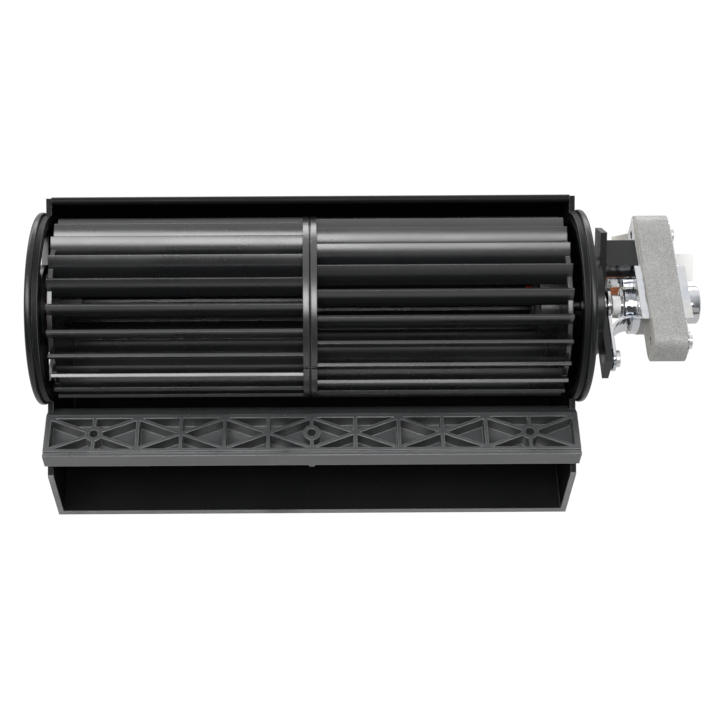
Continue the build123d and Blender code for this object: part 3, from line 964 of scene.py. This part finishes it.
@dataclass
class WoundCoil:
    """The coil: an inner block under one real layer of turns.

    Args:
        lean: the motor's lean from level, in degrees.
        wire: wire thickness, in metres.
        corner: radius of a turn's outer corners, in metres.
        corner_steps: straight steps round a corner.
        wire_sides: sides of the wire's round.
    """

    lean: float = 55.0
    wire: float = 0.00056
    corner: float = 0.0042
    corner_steps: int = 6
    wire_sides: int = 8

    def sizes(self) -> tuple[float, float, float]:
        """Works the leaning block's sides out from its box.

        Returns:
            Its length along the lean, its width along X and its depth along the winding.
        """
        span = span_of("coil_winding")
        cos, sin = math.cos(math.radians(self.lean)), math.sin(math.radians(self.lean))
        det = cos * cos - sin * sin
        return (span.y * cos - span.z * sin) / det, span.x, (span.z * cos - span.y * sin) / det

    def inner_block(self, length: float, width: float, depth: float) -> bpy.types.Mesh:
        """The turns below the outer layer, as one rounded block.

        Args:
            length: along the lean, in metres.
            width: along X, in metres.
            depth: along the winding, in metres.

        Returns:
            The block's mesh, centred, its winding along Z.
        """
        form = bmesh.new()
        bmesh.ops.create_cube(form, size=1.0, matrix=Matrix.Diagonal((length, width, depth, 1.0)))
        upright = [e for e in form.edges if abs(e.verts[0].co.z - e.verts[1].co.z) > depth / 2]
        bmesh.ops.bevel(
            form, geom=upright, offset=self.corner, segments=self.corner_steps, affect="EDGES", profile=0.5
        )
        mesh = bpy.data.meshes.new("coil_block")
        form.to_mesh(mesh)
        form.free()
        return mesh

    def turn_tree(self, length: float, width: float, depth: float, worn: bpy.types.Material) -> GeometryGraph:
        """The tree that repeats one turn along the winding, over the block that it is given.

        Args:
            length: along the lean, in metres.
            width: along X, in metres.
            depth: along the winding, in metres.
            worn: the wire's material.

        Returns:
            The finished tree.
        """
        turns = int(depth / self.wire)
        pitch = depth / turns
        graph = GeometryGraph(
            "coil_turns",
            {
                "Turns": ("NodeSocketInt", turns),
                "Pitch": ("NodeSocketFloat", pitch),
                "Start": ("NodeSocketFloat", -(depth - pitch) / 2),
                "Length": ("NodeSocketFloat", length - self.wire),
                "Width": ("NodeSocketFloat", width - self.wire),
                "Corner": ("NodeSocketFloat", self.corner),
                "Wire": ("NodeSocketFloat", pitch / 2),
            },
        )
        loop = graph.node(
            "GeometryNodeCurvePrimitiveQuadrilateral",
            None,
            {"Width": graph.given("Length"), "Height": graph.given("Width")},
        )
        loop = graph.node(
            "GeometryNodeFilletCurve",
            {"mode": "POLY"},
            {"Curve": loop, "Count": self.corner_steps, "Radius": graph.given("Corner")},
        )
        profile = graph.node(
            "GeometryNodeCurvePrimitiveCircle",
            None,
            {"Resolution": self.wire_sides, "Radius": graph.given("Wire")},
        )
        turn = graph.node("GeometryNodeCurveToMesh", None, {"Curve": loop, "Profile Curve": profile})
        turn = graph.node("GeometryNodeSetShadeSmooth", None, {0: turn})
        start = graph.node("ShaderNodeCombineXYZ", None, {"Z": graph.given("Start")})
        step = graph.node("ShaderNodeCombineXYZ", None, {"Z": graph.given("Pitch")})
        row = graph.node(
            "GeometryNodeMeshLine",
            None,
            {"Count": graph.given("Turns"), "Start Location": start, "Offset": step},
        )
        wound = graph.node("GeometryNodeInstanceOnPoints", None, {"Points": row, "Instance": turn})
        joined = graph.node("GeometryNodeJoinGeometry", None, {0: [wound, graph.given("Geometry")]})
        graph.end(joined, worn)
        return graph

    def seat(self) -> Matrix:
        """Turns the centred coil to the motor's lean and moves it to its place.

        Returns:
            The matrix for its mesh.
        """
        lean = math.radians(-self.lean)
        along = Vector((0, math.cos(lean), math.sin(lean)))
        across = Vector((1, 0, 0))
        winding = along.cross(across)
        turned = Matrix((along, across, winding)).transposed().to_4x4()
        return Matrix.Translation(centre_of("coil_winding")) @ turned

    def build(self, rack: FinishRack) -> bpy.types.Object:
        """Builds the coil.

        Args:
            rack: the finishes.

        Returns:
            The coil's piece.
        """
        length, width, depth = self.sizes()
        tree = self.turn_tree(length, width, depth, rack.get(COPPER))
        block = self.inner_block(length - self.wire, width - self.wire, depth)
        mesh = tree.run(block, "coil_turns")
        mesh.transform(self.seat())
        return new_piece("coil_turns", mesh, "housing", "coil_winding")


@dataclass
class SheetPack:
    """The motor's frame as separate punched sheets.

    Args:
        sheets: how many sheets.
        gap: air between two sheets, in metres.
        shake: how far a sheet may sit out of line, in metres.
        seed: fixes which sheet sits where.
        merge: how near two points lie to count as one, in metres.
        on_end: how near the end face a point counts as on it, in metres.
    """

    sheets: int = 22
    gap: float = 0.000012
    shake: float = 0.000014
    seed: int = 7
    merge: float = 1e-6
    on_end: float = 1e-5

    def pitch(self) -> float:
        """From one sheet to the next, in metres."""
        low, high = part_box("stator_core")
        return (high[0] - low[0]) / self.sheets

    def outline(self) -> bpy.types.Mesh:
        """One sheet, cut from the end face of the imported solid.

        Returns:
            The sheet's mesh, at its first place.
        """
        form = bmesh.new()
        form.from_mesh(frame["nodes"]["stator_core"].data)
        bmesh.ops.remove_doubles(form, verts=form.verts, dist=self.merge)
        low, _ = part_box("stator_core")
        spare = [f for f in form.faces if any(abs(v.co.x - low[0]) > self.on_end for v in f.verts)]
        bmesh.ops.delete(form, geom=spare, context="FACES")
        made = bmesh.ops.extrude_face_region(form, geom=list(form.faces), use_keep_orig=True)
        moved = [item for item in made["geom"] if isinstance(item, bmesh.types.BMVert)]
        bmesh.ops.translate(form, vec=Vector((self.pitch() - self.gap, 0, 0)), verts=moved)
        bmesh.ops.recalc_face_normals(form, faces=form.faces)
        mesh = bpy.data.meshes.new("one_sheet")
        form.to_mesh(mesh)
        form.free()
        return mesh

    def build(self, rack: FinishRack) -> bpy.types.Object:
        """Stacks the sheets.

        Args:
            rack: the finishes.

        Returns:
            The stack's piece.
        """
        graph = GeometryGraph(
            "sheet_pack",
            {
                "Sheets": ("NodeSocketInt", self.sheets),
                "Pitch": ("NodeSocketFloat", self.pitch()),
                "Shake": ("NodeSocketFloat", self.shake),
                "Seed": ("NodeSocketInt", self.seed),
            },
        )
        step = graph.node("ShaderNodeCombineXYZ", None, {"X": graph.given("Pitch")})
        row = graph.node("GeometryNodeMeshLine", None, {"Count": graph.given("Sheets"), "Offset": step})
        swing = graph.node(
            "FunctionNodeRandomValue",
            {"data_type": "FLOAT_VECTOR"},
            {0: (0.0, -1.0, -1.0), 1: (0.0, 0.0, 0.0), "Seed": graph.given("Seed")},
        )
        swing = graph.node(
            "ShaderNodeVectorMath", {"operation": "SCALE"}, {0: swing, "Scale": graph.given("Shake")}
        )
        row = graph.node("GeometryNodeSetPosition", None, {"Geometry": row, "Offset": swing})
        pack = graph.node(
            "GeometryNodeInstanceOnPoints", None, {"Points": row, "Instance": graph.given("Geometry")}
        )
        graph.end(pack, rack.get(SHEETS))
        mesh = graph.run(self.outline(), "sheet_pack")
        return new_piece("sheet_pack", mesh, "housing", "stator_core")


@dataclass(frozen=True)
class Lamp:
    """One soft lamp.

    Args:
        name: its name.
        place: where it hangs, in metres.
        size: its two sides, in metres.
        power: its power, in watts.
    """

    name: str
    place: Triple
    size: tuple[float, float]
    power: float

    def hang(self, aim: Vector) -> None:
        """Puts the lamp in the scene, facing a point.

        Args:
            aim: the point that it faces.
        """
        data = bpy.data.lights.new(self.name, "AREA")
        data.shape = "RECTANGLE"
        data.size, data.size_y = self.size
        data.energy = self.power
        lamp = bpy.data.objects.new(self.name, data)
        lamp.location = self.place
        lamp.rotation_mode = "QUATERNION"
        lamp.rotation_quaternion = (aim - Vector(self.place)).to_track_quat("-Z", "Y")
        bpy.context.scene.collection.objects.link(lamp)


@dataclass
class Studio:
    """Plain pale floor, soft lamps and the camera.

    Args:
        lens: the camera's lens, in millimetres.
        sensor: the width of the camera's sensor, in millimetres.
        clip: the nearest and farthest that the camera sees, in metres.
        distance: from the camera to the wheel's axis, in metres.
        elevation: the camera's height angle, in degrees.
        rise: how far the line of sight passes above the axis, in metres.
        roll: the camera's roll, in degrees.
        shift: the camera's shift.
        lamps: a broad lamp above the front, one behind and a weak one in front.
        aim: the point that the lamps face, in metres.
        front_fill: strength of the sky in front of the object.
        back_fill: strength of the sky behind it.
        fill_turn: how far either side of the middle the sky goes from one to the other, from 0 to 1.
        floor_half: half the floor's side, in metres.
        floor_tone: the floor's own colour.
        floor_white: strength of the floor's glow to the eye.
        floor_gleam: strength of the floor's glow in the object's reflections.
        floor_glow: how much of the glow covers the floor's own light and shadow.
    """

    WHITE: ClassVar[tuple[float, float, float, float]] = (1.0, 1.0, 1.0, 1.0)

    lens: float = 76.35
    sensor: float = 36.0
    clip: tuple[float, float] = (0.01, 20.0)
    distance: float = 0.541
    elevation: float = 55.0
    rise: float = 0.00243
    roll: float = -0.33
    shift: tuple[float, float] = (0.068, -0.083)
    lamps: tuple[Lamp, ...] = (
        Lamp("overhead", place=(-0.2, -0.45, 1.15), size=(1.2, 0.55), power=14.2),
        Lamp("behind", place=(-0.1, 1.1, 0.27), size=(1.8, 0.45), power=9.0),
        Lamp("front", place=(0.5, -1.2, 0.6), size=(0.9, 0.6), power=0.7),
    )
    aim: Triple = (0.0, 0.0, 0.05)
    front_fill: float = 0.12
    back_fill: float = 1.10
    fill_turn: float = 0.7
    floor_half: float = 3.0
    floor_tone: Colour = (0.86, 0.86, 0.86)
    floor_white: float = 1.03
    floor_gleam: float = 0.7
    floor_glow: float = 0.96

    @staticmethod
    def ray(graph: NodeGraph, label: str) -> Value:
        """Tells one kind of ray from the others.

        Args:
            graph: the nodes that it goes into.
            label: the kind, such as Is Camera Ray.

        Returns:
            1 for rays of that kind, 0 for others.
        """
        return graph.node("ShaderNodeLightPath", output=label)

    @staticmethod
    def blend(graph: NodeGraph, amount: Value, below: Value, above: Value) -> Value:
        """Mixes two shaders.

        Args:
            graph: the nodes that it goes into.
            amount: 0 for the first, 1 for the second.
            below: the first shader.
            above: the second shader.

        Returns:
            The mixed shader.
        """
        return graph.node("ShaderNodeMixShader", None, {0: amount, 1: below, 2: above})

    def build_sky(self) -> None:
        """A white sky to the eye; on the object it is bright behind and dim in front."""
        world = bpy.data.worlds.new("studio_sky")
        bpy.context.scene.world = world
        world.use_nodes = True
        graph = NodeGraph(world.node_tree)
        graph.tree.nodes.clear()
        front, back, white = (
            graph.node("ShaderNodeBackground", None, {"Color": self.WHITE, "Strength": strength})
            for strength in (self.front_fill, self.back_fill, 1.0)
        )
        ahead = graph.node("ShaderNodeTexCoord", output="Generated")
        depth = graph.node("ShaderNodeSeparateXYZ", None, {0: ahead}, "Y")
        lit = self.blend(graph, depth.ramp(-self.fill_turn, self.fill_turn), front, back)
        sky = self.blend(graph, self.ray(graph, "Is Camera Ray"), lit, white)
        output = graph.tree.nodes.new("ShaderNodeOutputWorld")
        graph.tree.links.new(sky.socket, output.inputs[0])

    def floor_material(self) -> bpy.types.Material:
        """White to the eye and in reflections, with a little of the floor's own light and shadow.

        Returns:
            The floor's material.
        """
        tone = (*self.floor_tone, 1.0)
        shader = Shader("floor_white", Base_Color=tone, Roughness=0.9, Specular_IOR_Level=0.1)
        mixed = Value(shader, shader.surface.outputs[0])
        for label, strength in (("Is Camera Ray", self.floor_white), ("Is Glossy Ray", self.floor_gleam)):
            glow = shader.node("ShaderNodeEmission", None, {"Color": self.WHITE, "Strength": strength})
            mixed = self.blend(shader, self.ray(shader, label) * self.floor_glow, mixed, glow)
        shader.tree.links.new(mixed.socket, shader.output.inputs[0])
        return shader.material

    def build_floor(self) -> None:
        """A square floor under the object."""
        low, _ = CAD_BOX
        half = self.floor_half
        mesh = bpy.data.meshes.new("floor")
        corners = [(-half, -half, low[2]), (half, -half, low[2]), (half, half, low[2]), (-half, half, low[2])]
        mesh.from_pydata(corners, [], [(0, 1, 2, 3)])
        mesh.materials.append(self.floor_material())
        floor = bpy.data.objects.new("floor", mesh)
        bpy.context.scene.collection.objects.link(floor)

    def build_lamps(self) -> None:
        """Hangs the lamps."""
        for lamp in self.lamps:
            lamp.hang(Vector(self.aim))

    def build_camera(self) -> None:
        """The camera, over the front of the wheel."""
        joint = frame["record"]["behaviour"]["joints"][0]
        axis = Vector(joint["pos_m"])
        angle = math.radians(self.elevation)
        back = Vector((0, -math.cos(angle), math.sin(angle)))
        up = Vector((0, math.sin(angle), math.cos(angle)))
        data = bpy.data.cameras.new("camera")
        data.sensor_width = self.sensor
        data.lens = self.lens
        data.shift_x, data.shift_y = self.shift
        data.clip_start, data.clip_end = self.clip
        camera = bpy.data.objects.new("camera", data)
        camera.location = axis + back * self.distance + up * self.rise
        camera.rotation_mode = "QUATERNION"
        facing = (-back).to_track_quat("-Z", "Y").to_matrix().to_4x4()
        rolled = facing @ Matrix.Rotation(math.radians(self.roll), 4, "Z")
        camera.rotation_quaternion = rolled.to_quaternion()
        bpy.context.scene.collection.objects.link(camera)
        bpy.context.scene.camera = camera

    def build(self) -> None:
        """Builds the whole studio."""
        self.build_sky()
        self.build_floor()
        self.build_lamps()
        self.build_camera()
        bpy.context.scene.view_settings.view_transform = "Standard"


def main() -> None:
    """Builds the studio, dresses the nodes and adds the finer pieces."""
    logging.basicConfig(level=logging.INFO, format="%(message)s")
    Studio().build()
    rack = FinishRack()
    for node, finish in WEARS.items():
        rack.dress(node, finish)
    WoundCoil().build(rack)
    SheetPack().build(rack)


if __name__ == "__main__":
    main()
